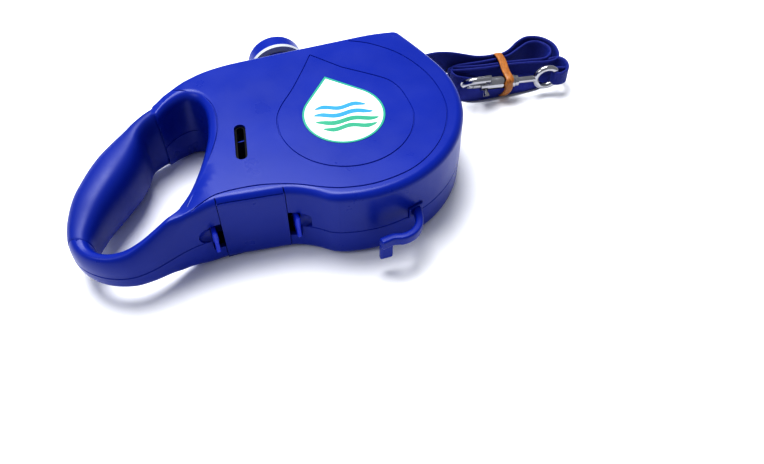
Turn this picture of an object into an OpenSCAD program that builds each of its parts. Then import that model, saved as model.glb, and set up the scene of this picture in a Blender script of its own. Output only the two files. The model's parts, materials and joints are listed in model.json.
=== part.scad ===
// Retractable dog leash with a built-in water tank and a waste-bag drawer.
// The case lies on its side. Origin: centre of the round case on the resting face.
// +X points to the nozzle end, +Y to the thumb edge, +Z up through the thickness.

/* [Case] */
// Thickness of the whole case
case_t = 47; // [46:0.5:49]
// Height of the parting line between the lower and the upper shell
part_z = 20; // [19:0.5:21]
// Radius of the round reel end
case_r = 68; // [67.5:0.5:69]
// Wall thickness of the shells
wall = 2.4; // [2:0.1:2.6]
// Height of the straight thumb edge above the reel centre line
edge_y = 57; // [56.5:0.5:58]
// Radius of the rounded upper edge
edge_round = 4; // [2:0.5:4]

/* [Handle] */
// Thickness of the soft grip sleeve
grip_t = 2; // [1.5:0.1:2.5]
// Squareness of the handle section, where 2 is an ellipse
grip_square = 2.5; // [2:0.1:3]

/* [Reel] */
// Radius of the spool flanges
flange_r = 48; // [46:0.5:48]
// Outer radius of the wound tape
roll_r = 44; // [40:0.5:44]
// Radius of the spool drum
drum_r = 20; // [18:0.5:22]
// Radius of the steel axle
axle_r = 3; // [2.5:0.25:3.5]
// Turns of the flat power spring
spring_turns = 5; // [3:1:6]

/* [Tape and snap] */
// Width of the tape
tape_w = 15; // [12:1:15]
// Thickness of the tape with its weave
tape_t = 1.6; // [1.2:0.1:1.8]
// Radius of the round bar of the snap hook
hook_bar_r = 2.2; // [2:0.1:2.3]
// Travel of the snap bolt
bolt_travel = 8; // [6:1:8]

/* [Tank and drawer] */
// Outer radius of the screw cap
cap_r = 17; // [16:0.5:17.5]
// Length of the screw cap
cap_len = 12; // [10:1:13]
// Radius of the tank neck
neck_r = 13; // [12:0.5:13.5]
// Wall thickness of the tank and of the drawer
thin_wall = 1.5; // [1.2:0.1:1.8]

/* [Hidden] */
$fn = 72;

case_blue = "#1f3fc4";
deep_blue = "#1a2f9a";
strap_blue = "#16257f";
steel = "#c9ccd1";
gap = 0.3;
ratchet_n = 12;

// ---------- curves ----------
function unit(v) = v / norm(v);
function arc(c, r, a0, a1, n) = [for (k = [0:n]) c + r * [cos(a0 + (a1 - a0) * k / n), sin(a0 + (a1 - a0) * k / n)]];
function bend(a, b, c, d, t) = 0.5 * (2 * b + (c - a) * t + (2 * a - 5 * b + 4 * c - d) * t * t
    + (3 * b - a - 3 * c + d) * t * t * t);
function smooth(P, n) = let (m = len(P)) [for (i = [0:m - 2], k = [0:n - 1])
    bend(P[max(i - 1, 0)], P[i], P[i + 1], P[min(i + 2, m - 1)], k / n)];
function smooth_loop(P, n) = let (m = len(P)) [for (i = [0:m - 1], k = [0:n - 1])
    bend(P[(i + m - 1) % m], P[i], P[(i + 1) % m], P[(i + 2) % m], k / n)];
function outward(P, i) = let (d = P[(i + 1) % len(P)] - P[i]) unit([d.y, -d.x]);
function inset(P, d) = let (m = len(P)) [for (i = [0:m - 1])
    let (a = outward(P, (i + m - 1) % m), b = outward(P, i)) P[i] - d * (a + b) / (1 + a * b)];

// ---------- case outline, counter-clockwise ----------
nose_c = [50, edge_y - 5.5];
nose_r = 5.5;
top_edge = [[-45, edge_y], [-55, edge_y - 0.6], [-67, 54.2], [-79, 49.4], [-89, 44.2], [-98, 38.4]];
hole_front = [[-95.8, 28.6], [-88, 33.4], [-79, 36], [-72.6, 31.5], [-70.4, 21], [-72.2, 6.5],
    [-76.2, -7], [-82.8, -21.5], [-89.6, -32.8], [-98, -42.9]];
low_edge = [[-102, -50.8], [-90, -48.8], [-78, -47.4], [-61, -49.2], [-45, -51.2], [-37.5, -54],
    [-31, -58], [-25.6, -62.4]];
case_outline = concat(
    arc([0, 0], case_r, -108, 14, 20),
    arc(nose_c, nose_r, 18, 90, 5),
    smooth(top_edge, 3), [top_edge[5]],
    smooth(hole_front, 3), [hole_front[9]],
    smooth(low_edge, 3), [low_edge[7]]);

// ---------- handle stations: outer point, inner point, lowest z, highest z ----------
HANDLE = [
    [[-91, 42.5], [-90, 32.5], 3, 44],
    [[-98, 39.2], [-95.5, 27.3], 3, 43.5],
    [[-104.5, 36.6], [-101, 25], 3, 42.5],
    [[-111.5, 33.6], [-105.5, 20.5], 3, 41],
    [[-118.5, 29.7], [-108, 12.5], 2.5, 40],
    [[-125.5, 24.9], [-112.5, 3.5], 2.5, 39.5],
    [[-132, 19], [-118, -4], 3, 39],
    [[-138, 12], [-123.5, -10.5], 3.5, 38],
    [[-143, 4.5], [-128.5, -16.5], 4.5, 37],
    [[-147.5, -3.5], [-133, -22.5], 6, 36],
    [[-151, -13], [-137, -28.8], 7.5, 34.5],
    [[-153.2, -24], [-140, -34.5], 9, 33],
    [[-153, -34.5], [-140.8, -38.5], 10, 32],
    [[-149.5, -43.5], [-139.5, -42.2], 10, 31.5],
    [[-143.5, -50.5], [-136.5, -45.8], 10, 32],
    [[-135.5, -55.8], [-131.5, -48.3], 10, 33],
    [[-126, -58.5], [-125, -49.6], 9.5, 35],
    [[-116.5, -57.3], [-117.5, -49], 8.5, 38],
    [[-108, -54.4], [-110.5, -46.9], 7, 41],
    [[-101, -51.6], [-103, -43.6], 4.5, 43.5],
    [[-94, -49.2], [-95.5, -40.5], 4.5, 43.5]];
grip_first = 1;
grip_last = 12;
ring_n = 9;

function power(v, e) = sign(v) * pow(abs(v), e);
function ring_pt(st, a, less) = let (
        c = (st[0] + st[1]) / 2,
        h = (st[0] - st[1]) / 2,
        w = h * (norm(h) - less) / norm(h),
        e = 2 / grip_square,
        rise = sin(a) >= 0 ? st[3] - part_z - less : part_z - st[2] - less,
        p = c + w * power(cos(a), e))
    [p.x, p.y, part_z + rise * power(sin(a), e)];
function less_at(i, t) = i <= grip_last ? t : 0;

// Half of the handle bar, a solid swept through the stations from angle a0 to a0 + 180.
module half_bar(a0) {
    m = ring_n;
    pts = [for (i = [0:len(HANDLE) - 1], k = [0:m - 1])
        ring_pt(HANDLE[i], a0 + 180 * k / (m - 1), less_at(i, grip_t))];
    last = (len(HANDLE) - 1) * m;
    polyhedron(pts, concat(
        [[for (k = [m - 1:-1:0]) k]],
        [[for (k = [0:m - 1]) last + k]],
        [for (i = [0:len(HANDLE) - 2], k = [0:m - 1]) let (a = i * m + k, b = i * m + (k + 1) % m)
            each [[a, b, a + m], [b, b + m, a + m]]]), convexity = 8);
}

// Grip sleeve, a closed tube between an outer and an inner ring at each station.
module sleeve() {
    m = 16;
    n = grip_last - grip_first + 1;
    function layer(t) = [for (i = [grip_first:grip_last], k = [0:m - 1]) ring_pt(HANDLE[i], 360 * k / m, t)];
    far = n * m;
    function skin(o, flip) = [for (i = [0:n - 2], k = [0:m - 1])
        let (a = o + i * m + k, b = o + i * m + (k + 1) % m)
        each (flip ? [[a, b, a + m], [b, b + m, a + m]] : [[a, a + m, b], [b, a + m, b + m]])];
    function collar(r, flip) = [for (k = [0:m - 1])
        let (a = r + k, b = r + (k + 1) % m)
        each (flip ? [[a, a + far, b], [b, a + far, b + far]] : [[a, b, a + far], [b, b + far, a + far]])];
    polyhedron(concat(layer(0), layer(grip_t - 0.05)), concat(
        skin(0, true), skin(far, false), collar(0, true), collar((n - 1) * m, false)), convexity = 8);
}

// ---------- shared places ----------
spool_c = [6, -8];
spool_low = 14;
tape_low = spool_low + 3;
ratchet_low = spool_low + 21;
door_x0 = -78.2;
door_x1 = -44.8;
cap_x = -18;
cap_z = part_z;
collar_end = edge_y + 15;
ring_len = 2.6;
button_x = -57;
button_z = 24;
button_w = 24;
button_h = 14;
button_out = edge_y + 5;
pawl_pivot = [-22, 38.5];
pawl_tip_a = 150;
pawl_low = 38.5;
pawl_h = 4;
slot_c = [-57.4, -10.3];
slot_a = 80.5;
slot_len = 26;
slot_w = 6;
mouth = [60.2, 41.8];
mouth_a = 14;
mouth_z = tape_low + tape_w / 2;
lead_a = 4.5;
screw_at = [[47.5, 50.5], [60.5, -10], [-5, -61], [-32, -49.5], [-88, 39.8], [-145, -43.5], [-112, -51.4]];
screw_top = [39, 39, 39, 39, 37, 27, 30];
tab_z0 = 13;
tab_z1 = 29;
tab_room = 6.2;
tab_hinge_y = -36;

module plate(P, z0, z1) {
    translate([0, 0, z0]) linear_extrude(z1 - z0) polygon(P);
}

// A moulding whose upper edge steps in by half of the edge radius r.
module rounded_top(P, z0, z1, r) {
    plate(P, z0, z1 - r / 2);
    plate(inset(P, r / 2), z1 - r / 2, z1);
}

module screw_bosses(z0, z1, r) {
    for (i = [0:4]) translate([screw_at[i].x, screw_at[i].y, z0]) cylinder(h = z1 - z0, r = r);
}

module screw_holes() {
    for (i = [0:len(screw_at) - 1]) {
        base = i < 5 ? 0 : HANDLE[13][2];
        translate([screw_at[i].x, screw_at[i].y, -1]) cylinder(h = screw_top[i] + 1 - 6, r = 1.6);
        translate([screw_at[i].x, screw_at[i].y, -1]) cylinder(h = base + 5, r = 3.1);
    }
}

// Everything that is cut through both shells.
module shell_cuts() {
    translate([door_x0 - gap, -60, -1]) cube([door_x1 - door_x0 + 2 * gap, 15.3, case_t - 2.4 + 1]);
    translate([door_x0 - tab_room, -60, tab_z0 - 1])
        cube([door_x1 - door_x0 + 2 * tab_room, 15.3, tab_z1 - tab_z0 + 2]);
    translate([cap_x, 45, cap_z]) rotate([-90, 0, 0]) cylinder(h = 20, r = neck_r + 1.2);
    translate([button_x - button_w / 2 - gap, 46, button_z - button_h / 2 - gap])
        cube([button_w + 2 * gap, 20, button_h + 2 * gap]);
    translate([mouth.x, mouth.y, mouth_z]) rotate([0, 0, mouth_a]) cube([18, 12, 22], center = true);
    hook_root();
}

// Foot of the bowl hook, set in the wall of the case.
module hook_root() {
    translate([20, -63.9, part_z + 3]) rotate([0, 0, 17]) cube([9, 4.6, 8], center = true);
}

module lower_shell() {
    color(case_blue) difference() {
        union() {
            difference() {
                translate([0, 0, part_z]) mirror([0, 0, 1]) rounded_top(case_outline, 0, part_z, edge_round + 1);
                plate(inset(case_outline, wall), wall, part_z + 1);
            }
            screw_bosses(1, part_z, 3.6);
            translate([spool_c.x, spool_c.y, 1]) cylinder(h = 2, r = 7);
            half_bar(180);
        }
        shell_cuts();
        screw_holes();
        translate([spool_c.x, spool_c.y, 1.4]) cylinder(h = 10, r = axle_r);
    }
}

module upper_shell() {
    color(case_blue) difference() {
        union() {
            difference() {
                rounded_top(case_outline, part_z, case_t, edge_round);
                plate(inset(case_outline, wall), part_z - 1, case_t - wall);
            }
            screw_bosses(part_z, case_t - 1, 3.6);
            translate([spool_c.x, spool_c.y, case_t - 4]) cylinder(h = 3, r = 6);
            translate([pawl_pivot.x, pawl_pivot.y, pawl_low + pawl_h + gap]) cylinder(h = 3, r = 4);
            half_bar(0);
        }
        shell_cuts();
        screw_holes();
        translate([spool_c.x, spool_c.y, 30]) cylinder(h = case_t - 31.4, r = axle_r);
        translate([pawl_pivot.x, pawl_pivot.y, 30]) cylinder(h = case_t - 31.4, r = 1.5);
        slot_shape(case_t - wall - 1, case_t + 1);
        plate(drop_outline(22.6, 33.2), case_t - 0.3, case_t + 1);
    }
}

module slot_shape(z0, z1) {
    half = (slot_len - slot_w) / 2;
    translate([slot_c.x, slot_c.y, z0]) rotate([0, 0, slot_a]) {
        translate([-half, -slot_w / 2, 0]) cube([2 * half, slot_w, z1 - z0]);
        for (s = [-1, 1]) translate([s * half, 0, 0]) cylinder(h = z1 - z0, r = slot_w / 2);
    }
}

module handle_grip() {
    color(case_blue) sleeve();
}

// Drop shape: a circle of radius r with a point at height h above its centre.
label_c = [0, -7.5];
function drop_outline(r, h) = let (t = acos(r / h), tip = label_c + [-1, h], side = label_c + r * [-sin(t), cos(t)])
    concat(arc(label_c, r, 90 + t, 450 - t, 40), [tip]);

module label() {
    color("white") plate(drop_outline(22.5, 33), case_t - 0.3, case_t + 0.2);
}

module nozzle_insert() {
    color(deep_blue) translate([mouth.x, mouth.y, mouth_z]) rotate([0, 0, mouth_a]) difference() {
        union() {
            translate([-7, -6, -11]) cube([8.6, 12, 22]);
            translate([0, -5, -10]) cube([3.2, 10, 20]);
        }
        translate([-8, -2.4, -tape_w / 2 - 1]) cube([12, 4.8, tape_w + 2]);
    }
}

module case_screws() {
    color(steel) for (i = [0:len(screw_at) - 1]) {
        base = i < 5 ? 0 : HANDLE[13][2];
        translate([screw_at[i].x, screw_at[i].y, base]) difference() {
            union() {
                translate([0, 0, 1]) cylinder(h = 3, r = 3);
                translate([0, 0, 4]) cylinder(h = screw_top[i] - 6 - 4 - base, r = 1.6);
            }
            for (q = [0, 90]) rotate([0, 0, q]) translate([-1.8, -0.4, 0]) cube([3.6, 0.8, 2.2]);
        }
    }
}

module reel_axle() {
    color(steel) translate([spool_c.x, spool_c.y, 1.4]) cylinder(h = case_t - 2.8, r = axle_r);
}

module spool() {
    color("dimgray") translate([spool_c.x, spool_c.y, 0]) difference() {
        union() {
            translate([0, 0, spool_low]) cylinder(h = 2, r = flange_r);
            translate([0, 0, spool_low]) cylinder(h = 19, r = drum_r);
            translate([0, 0, 5]) cylinder(h = 10, r = 7.5);
        }
        translate([0, 0, 4]) cylinder(h = 40, r = axle_r + 0.05);
        translate([0, 0, spool_low + 4]) difference() {
            cylinder(h = 16, r = drum_r - 3);
            cylinder(h = 16, r = 7.5);
        }
        for (k = [0:5]) rotate([0, 0, 60 * k]) translate([32, 0, spool_low - 1]) cylinder(h = 4, r = 6);
    }
}

module ratchet_flange() {
    color("dimgray") translate([spool_c.x, spool_c.y, spool_low + 19]) difference() {
        union() {
            cylinder(h = 2, r = flange_r);
            cylinder(h = 9, r = 46);
        }
        translate([0, 0, 2]) cylinder(h = 9, r = 38);
        translate([0, 0, -1]) cylinder(h = 4, r = axle_r + 0.05);
        for (k = [0:ratchet_n - 1]) rotate([0, 0, pawl_tip_a + 360 * k / ratchet_n])
            translate([42.6, -4.2, 2]) cube([6, 8.4, 8]);
        for (k = [0:5]) rotate([0, 0, 60 * k]) translate([29, 0, -1]) cylinder(h = 4, r = 5);
    }
}

module spring_cup() {
    color("gainsboro") translate([spool_c.x, spool_c.y, 3]) difference() {
        cylinder(h = 9, r = 37);
        translate([0, 0, 1.4]) cylinder(h = 9, r = 35.5);
        translate([0, 0, -1]) cylinder(h = 4, r = axle_r);
    }
}

module spring_cover() {
    color("gainsboro") translate([spool_c.x, spool_c.y, 12]) difference() {
        cylinder(h = 1.4, r = 37);
        translate([0, 0, -1]) cylinder(h = 4, r = 8.2);
    }
}

// Flat spiral strip, wound outwards from the arbor to the wall of its cup.
spring_r0 = 9.5;
spring_r1 = 34.6;
function coil(a, off) = (spring_r0 + (spring_r1 - spring_r0) * a / (360 * spring_turns) + off) * [cos(a), sin(a)];
module power_spring() {
    n = 24 * spring_turns;
    side = [for (k = [0:n]) coil(15 * k, 0)];
    back = [for (k = [n:-1:0]) coil(15 * k, 0.7)];
    color(steel) translate([spool_c.x, spool_c.y, 0]) plate(concat(side, back), 4.8, 11.6);
}

module tape_roll() {
    color(strap_blue) translate([spool_c.x, spool_c.y, tape_low]) difference() {
        cylinder(h = tape_w, r = roll_r);
        translate([0, 0, -1]) cylinder(h = tape_w + 2, r = drum_r);
    }
}

module tape_lead() {
    start = spool_c + (roll_r + 1.2) * [-sin(lead_a), cos(lead_a)];
    color(strap_blue) translate([start.x, start.y, tape_low]) rotate([0, 0, lead_a])
        translate([0, -tape_t / 2, 0]) cube([57.2, tape_t, tape_w]);
}

module guide_pin() {
    color(steel) translate([49.5, 37.9, wall]) cylinder(h = case_t - 2 * wall, r = 1.5);
}

module brake_button() {
    color(case_blue) difference() {
        union() {
            translate([button_x - button_w / 2, 48.5, button_z - button_h / 2])
                cube([button_w, button_out - 48.5, button_h]);
            translate([button_x - button_w / 2 - 2, 46.5, button_z - button_h / 2 - 1.5])
                cube([button_w + 4, 3, button_h + 3]);
            translate([button_x - 4, 47, button_z]) cube([8, 2.5, pawl_low + pawl_h - button_z]);
        }
        translate([button_x - 7, button_out - 2, button_z - 4.5]) cube([16, 4, 9]);
    }
}

module button_lock() {
    color(deep_blue) translate([button_x - 6.6, button_out - 1.9, button_z - 4.2]) {
        cube([10, 1.4, 8.4]);
        for (k = [0:3]) translate([1.6 + 2 * k, 1.3, 0]) cube([1, 1.1, 8.4]);
    }
}

module brake_pawl() {
    tip = spool_c + 46.9 * [cos(pawl_tip_a), sin(pawl_tip_a)];
    reach = tip - pawl_pivot;
    a = atan2(reach.y, reach.x);
    end = [button_x, 43.6];
    arm = end - pawl_pivot;
    b = atan2(arm.y, arm.x);
    color("silver") difference() {
        union() {
            translate([pawl_pivot.x, pawl_pivot.y, pawl_low]) {
                cylinder(h = pawl_h, r = 4.5);
                rotate([0, 0, b]) translate([0, -2.5, 0]) cube([norm(arm), 5, pawl_h]);
                rotate([0, 0, a]) translate([0, -7.6, 0]) cube([norm(reach) - 1, 4.8, pawl_h]);
            }
            translate([end.x, end.y, pawl_low]) cylinder(h = pawl_h, r = 3);
            translate([spool_c.x, spool_c.y, pawl_low]) rotate([0, 0, pawl_tip_a])
                translate([46.9, -2.5, 0]) cube([5, 5, pawl_h]);
        }
        translate([pawl_pivot.x, pawl_pivot.y, 0]) cylinder(h = 60, r = 1.55);
    }
}

module pawl_pin() {
    color(steel) translate([pawl_pivot.x, pawl_pivot.y, pawl_low - 2]) {
        cylinder(h = case_t - 1.4 - pawl_low + 2, r = 1.5);
        cylinder(h = 1.6, r = 2.6);
    }
}

module pawl_spring() {
    color(steel) translate([pawl_pivot.x, pawl_pivot.y, pawl_low + pawl_h + gap]) difference() {
        cylinder(h = 1.4, r = 5.4);
        translate([0, 0, -1]) cylinder(h = 4, r = 4.2);
    }
}

// Tank outline: beside the reel chamber, behind the finger hole and up to the neck.
tank_outline = concat(
    [[-66.5, 0.5], [-49, 0.5]],
    [for (k = [0:6]) spool_c + 51.5 * [cos(168 - 9.5 * k), sin(168 - 9.5 * k)]],
    [[-2, 46], [-2, 53.5], [-40, 53.5], [-40, 34.5], [-66.5, 34.5]]);
module water_tank() {
    color("lightskyblue") difference() {
        union() {
            plate(tank_outline, wall + gap, 35);
            translate([cap_x, 50, cap_z]) rotate([-90, 0, 0]) cylinder(h = collar_end + 11 - 50, r = neck_r - 2);
        }
        plate(inset(tank_outline, thin_wall), wall + gap + thin_wall, 35 - thin_wall);
        translate([cap_x, 48, cap_z]) rotate([-90, 0, 0]) cylinder(h = 60, r = neck_r - 2 - thin_wall);
    }
}

module neck_collar() {
    color(deep_blue) translate([cap_x, 0, cap_z]) rotate([-90, 0, 0]) difference() {
        union() {
            translate([0, 0, 54.8]) cylinder(h = collar_end - 54.8, r = neck_r + 1.2);
            translate([0, 0, edge_y + 0.2]) cylinder(h = 3, r = neck_r + 3.5);
        }
        cylinder(h = 100, r = neck_r - 2);
    }
}

module cap_ring() {
    color("lightgray") translate([cap_x, collar_end + 0.2, cap_z]) rotate([-90, 0, 0]) difference() {
        cylinder(h = ring_len, r = cap_r + 1);
        translate([0, 0, -1]) cylinder(h = 9, r = neck_r - 1.9);
    }
}

module tank_cap() {
    start = collar_end + 0.2 + ring_len + 0.1;
    color(case_blue) translate([cap_x, start, cap_z]) rotate([-90, 0, 0]) difference() {
        union() {
            cylinder(h = cap_len - 2, r = cap_r);
            translate([0, 0, cap_len - 2]) cylinder(h = 2, r1 = cap_r, r2 = cap_r - 2);
        }
        translate([0, 0, -1]) cylinder(h = cap_len - 1.5, r = neck_r - 1.9);
        for (k = [0:35]) rotate([0, 0, 10 * k]) translate([cap_r + 0.3, 0, -1]) cylinder(h = cap_len - 2, r = 0.7, $fn = 8);
    }
}

module cap_liner() {
    color("white") translate([cap_x, collar_end + ring_len + cap_len - 3.4, cap_z]) rotate([-90, 0, 0])
        cylinder(h = 1.2, r = neck_r - 2.2);
}

// Outer face of the drawer door follows the lower edge of the case.
door_front = [[door_x0, -47.5], [-61, -49.2], [door_x1, -51.2]];
door_outline = concat(door_front, [[door_x1, -45], [door_x0, -45]]);
module bag_drawer() {
    color(case_blue) difference() {
        union() {
            plate(door_outline, gap, case_t - 2.8);
            translate([-72.5, -46, 4]) cube([25.5, 42, 38]);
            for (x = [door_x0 - 2.7, door_x1 - 6.3]) translate([x, -38, tab_z0 + 1])
                cube([9, 2, tab_z1 - tab_z0 - 2]);
        }
        translate([-71, -44.5, 5.5]) cube([22.5, 39, 40]);
    }
}

// Squeeze tab beside the door, with a round hinge end inside and a grip ridge near its outer end.
module latch(x, front) {
    color("royalblue") {
        translate([x, front, tab_z0]) cube([2.4, tab_hinge_y - front, tab_z1 - tab_z0]);
        translate([x + 1.2, tab_hinge_y, tab_z0]) cylinder(h = tab_z1 - tab_z0, r = 1.2);
        translate([x - 0.3, front + 1, tab_z0 + 7]) cube([3, 1.2, 2]);
    }
}
module latch_rear() { latch(door_x0 - 5.6, -51.5); }
module latch_front() { latch(door_x1 + 3.2, -55.5); }

module slot_insert() {
    color("black") difference() {
        slot_shape(case_t - wall - 0.9, case_t - 0.4);
        translate([slot_c.x, slot_c.y, 0]) rotate([0, 0, slot_a])
            translate([-(slot_len - slot_w) / 2, -0.7, 0]) cube([slot_len - slot_w, 1.4, 60]);
    }
}

// Hanger hook for a bowl: a flat J bar that stands out from the lower edge.
HOOK = [[21, -62.5], [20.9, -67], [19.8, -72], [17.6, -76.6], [13.5, -80], [8, -81.2], [2.5, -80], [-4.5, -81]];
hook_w = 4.2;
module bowl_hook() {
    mid = smooth(HOOK, 3);
    line = concat(mid, [HOOK[7]]);
    m = len(line);
    function side(i, s) = let (d = unit(line[min(i + 1, m - 1)] - line[max(i - 1, 0)])) line[i] + s * hook_w / 2 * [-d.y, d.x];
    color(case_blue) {
        plate(concat([for (i = [0:m - 1]) side(i, 1)], [for (i = [m - 1:-1:0]) side(i, -1)]), part_z, part_z + 6);
        translate([-5, -82, 11]) cube([7, 3, part_z - 10]);
        hook_root();
    }
}

// ---------- free tape ----------
// Route of the tape from the nozzle down to the hank, at the middle of its width.
ROUTE = [[59.5, 41.6, 24.5], [64, 42.6, 24.3], [70, 44.2, 23.4], [78, 46.4, 21], [87, 48, 17.4], [96, 48.6, 13.4], [104, 48, 10.4], [112, 47, 9]];
function line3(P, n) = let (m = len(P)) concat([for (i = [0:m - 2], k = [0:n - 1])
    bend(P[max(i - 1, 0)], P[i], P[i + 1], P[min(i + 2, m - 1)], k / n)], [P[m - 1]]);
module strap_run() {
    path = line3(ROUTE, 2);
    m = len(path);
    w = tape_w / 2;
    t = tape_t / 2;
    ring = [[t, w - 0.3], [t - 0.3, w], [0.3 - t, w], [-t, w - 0.3], [-t, 0.3 - w], [0.3 - t, -w], [t - 0.3, -w], [t, 0.3 - w]];
    pts = [for (i = [0:m - 1]) let (
            d = path[min(i + 1, m - 1)] - path[max(i - 1, 0)],
            side = unit([d.y, -d.x, 0]),
            rise = unit(cross(side, d)))
        each [for (q = ring) path[i] + q.x * side + q.y * rise]];
    color(strap_blue) polyhedron(pts, concat(
        [[for (k = [7:-1:0]) k]],
        [[for (k = [0:7]) (m - 1) * 8 + k]],
        [for (i = [0:m - 2], k = [0:7]) let (a = i * 8 + k, b = i * 8 + (k + 1) % 8)
            each [[a, b, a + 8], [b, b + 8, a + 8]]]), convexity = 6);
}

// Standing folds at the back of the hank, and the leaning folds under the snap.
FOLDS_BACK = [[84, 42], [96, 37], [110, 35], [124, 33.8], [138, 31.5], [150, 28.5], [159, 32], [161.5, 43],
    [157.5, 54], [147, 58.5], [137, 54.6], [129, 48.8], [124, 46.7], [115, 47.6], [106, 46.6], [94, 46.4], [84, 46]];
FOLDS_FRONT = [[84.5, 42], [86.5, 32], [94, 27], [108, 25], [124, 24], [137, 23.4], [148, 24.6], [156, 29],
    [156, 36], [140, 38], [120, 40], [100, 42]];
hank_low = 1.3;
lean_top = 8.5;
module strap_hank() {
    color(strap_blue) {
        plate(smooth_loop(FOLDS_BACK, 3), hank_low, hank_low + tape_w);
        plate(smooth_loop(FOLDS_FRONT, 3), hank_low, lean_top);
    }
}

// ---------- snap hook ----------
snap_a = [86, 28.6, 13.2];
snap_turn = -9.5;
snap_roll = 38;
hook_r = 6.5;
tip_x = hook_r + hook_bar_r;
barrel_s = 14;
barrel_len = 22;
barrel_r = 4;
stud_x = 17;
eye_s = 57.5;
eye_r = 7;
module at_snap() { translate(snap_a) rotate([0, 0, snap_turn]) children(); }
module at_body() { at_snap() rotate([snap_roll, 0, 0]) children(); }
module bar(x, len, r) { translate([x, 0, 0]) rotate([0, 90, 0]) cylinder(h = len, r = r); }

// Barrel, side web and hook in one casting. The hook ends in line with the bolt.
module snap_body() {
    color(steel) at_body() difference() {
        union() {
            bar(barrel_s, barrel_len, barrel_r);
            translate([tip_x, 0, hook_r]) rotate([90, 0, 0]) rotate([0, 0, 90])
                rotate_extrude(angle = 180) translate([hook_r, 0]) circle(r = hook_bar_r);
            translate([0, 0, 2 * hook_r]) bar(tip_x, barrel_s - tip_x + 3, hook_bar_r);
            translate([barrel_s, -hook_bar_r, 2.8]) cube([4, 2 * hook_bar_r, 2 * hook_r - 1.5]);
        }
        bar(barrel_s - 1, 19, 2.45);
        translate([stud_x - 1.6, -8, -1.6]) cube([bolt_travel + 3.2, 8, 3.2]);
        bar(barrel_s + 19.8, 5, 2.1);
        bar(barrel_s + 18.8, 1.8, 3);
    }
}

module snap_bolt() {
    color(steel) at_body() union() {
        bar(tip_x + gap, stud_x + 5 - tip_x - gap, 2.4);
        translate([stud_x, 0, 0]) rotate([90, 0, 0]) cylinder(h = 7.4, r = 1.4);
        translate([stud_x, -6, 0]) rotate([90, 0, 0]) cylinder(h = 1.8, r = 2.2);
    }
}

// Bolt spring, drawn at its fully pressed length.
module snap_spring() {
    color("silver") at_body() difference() {
        bar(barrel_s + 16.3, 1.6, 2.3);
        bar(barrel_s + 15, 4, 1.7);
    }
}

module snap_swivel() {
    color(steel) at_snap() union() {
        bar(barrel_s + 19, 1.4, 2.9);
        bar(barrel_s + 19, eye_s - eye_r - barrel_s - 19, 2.05);
        bar(barrel_s + barrel_len + 0.4, 2, 3.4);
        translate([eye_s, 0, 0]) rotate([90, 0, 0]) rotate_extrude() translate([eye_r, 0]) circle(r = 1.9);
    }
}

// End of the tape: a stitched loop through the eye of the snap.
module strap_end_loop() {
    color(strap_blue) at_snap() difference() {
        translate([eye_s + eye_r - 3.6, -6.5, -6.5]) cube([14, 17, 13]);
        translate([eye_s, 0, 0]) rotate([90, 0, 0]) rotate_extrude() translate([eye_r, 0]) circle(r = 2.1);
        translate([eye_s - 3, -7, -9]) cube([7.2, 18, 18]);
    }
}

module rubber_band() {
    color("peru") at_snap() translate([28, 0, -snap_a.z]) difference() {
        translate([0, -5.6, 0.2]) cube([7, 30.8, 18.7]);
        translate([-1, -4.6, 1.2]) cube([9, 28.8, 16.7]);
    }
}

lower_shell();
upper_shell();
handle_grip();
nozzle_insert();
case_screws();
reel_axle();
spool();
ratchet_flange();
spring_cup();
spring_cover();
power_spring();
tape_roll();
tape_lead();
guide_pin();
brake_button();
button_lock();
brake_pawl();
pawl_pin();
pawl_spring();
water_tank();
neck_collar();
tank_cap();
cap_ring();
cap_liner();
bag_drawer();
latch_rear();
latch_front();
slot_insert();
bowl_hook();
label();
strap_run();
strap_hank();
strap_end_loop();
rubber_band();
snap_body();
snap_bolt();
snap_spring();
snap_swivel();
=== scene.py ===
"""Looks of the retractable leash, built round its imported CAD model.

Sizes in the tables are millimetres in the part's frame: origin at the centre of the
round case on the resting face, +X to the tape outlet, +Y to the thumb edge, +Z up.
"""
import json
import math
from math import cos, pi, radians, sin

import bmesh
import bpy
import numpy as np
from mathutils import Matrix, Vector
from mathutils.geometry import delaunay_2d_cdt


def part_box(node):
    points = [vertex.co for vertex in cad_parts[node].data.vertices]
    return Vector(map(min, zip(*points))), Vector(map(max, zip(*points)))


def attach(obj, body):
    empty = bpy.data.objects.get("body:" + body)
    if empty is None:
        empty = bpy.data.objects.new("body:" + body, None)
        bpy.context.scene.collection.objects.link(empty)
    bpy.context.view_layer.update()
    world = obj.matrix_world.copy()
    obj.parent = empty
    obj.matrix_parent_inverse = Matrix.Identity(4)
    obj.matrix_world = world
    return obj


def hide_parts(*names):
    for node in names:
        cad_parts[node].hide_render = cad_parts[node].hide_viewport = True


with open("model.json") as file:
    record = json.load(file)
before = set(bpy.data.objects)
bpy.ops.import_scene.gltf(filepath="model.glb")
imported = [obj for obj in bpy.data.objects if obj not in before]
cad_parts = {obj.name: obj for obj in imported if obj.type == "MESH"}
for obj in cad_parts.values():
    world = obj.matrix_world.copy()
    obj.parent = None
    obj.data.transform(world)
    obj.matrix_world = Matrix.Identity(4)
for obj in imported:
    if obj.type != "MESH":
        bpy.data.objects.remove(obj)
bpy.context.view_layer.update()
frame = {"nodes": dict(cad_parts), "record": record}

MM = 0.001
CASE_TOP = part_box("upper_shell")[1].z / MM
PART_Z = 20.0                                 # height of the parting line
SNAP_AT = np.array((86.0, 28.6, 13.2))        # tip of the snap's hook
SNAP_TURN = radians(-9.5)                     # its axis in plan
UP = (0, 0, 1)
TO_THUMB = (0, 1, 0)


# ---------- small helpers ----------
def unit(v):
    """The vector at length one."""
    v = np.asarray(v, float)
    return v / max(np.linalg.norm(v), 1e-9)


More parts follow.
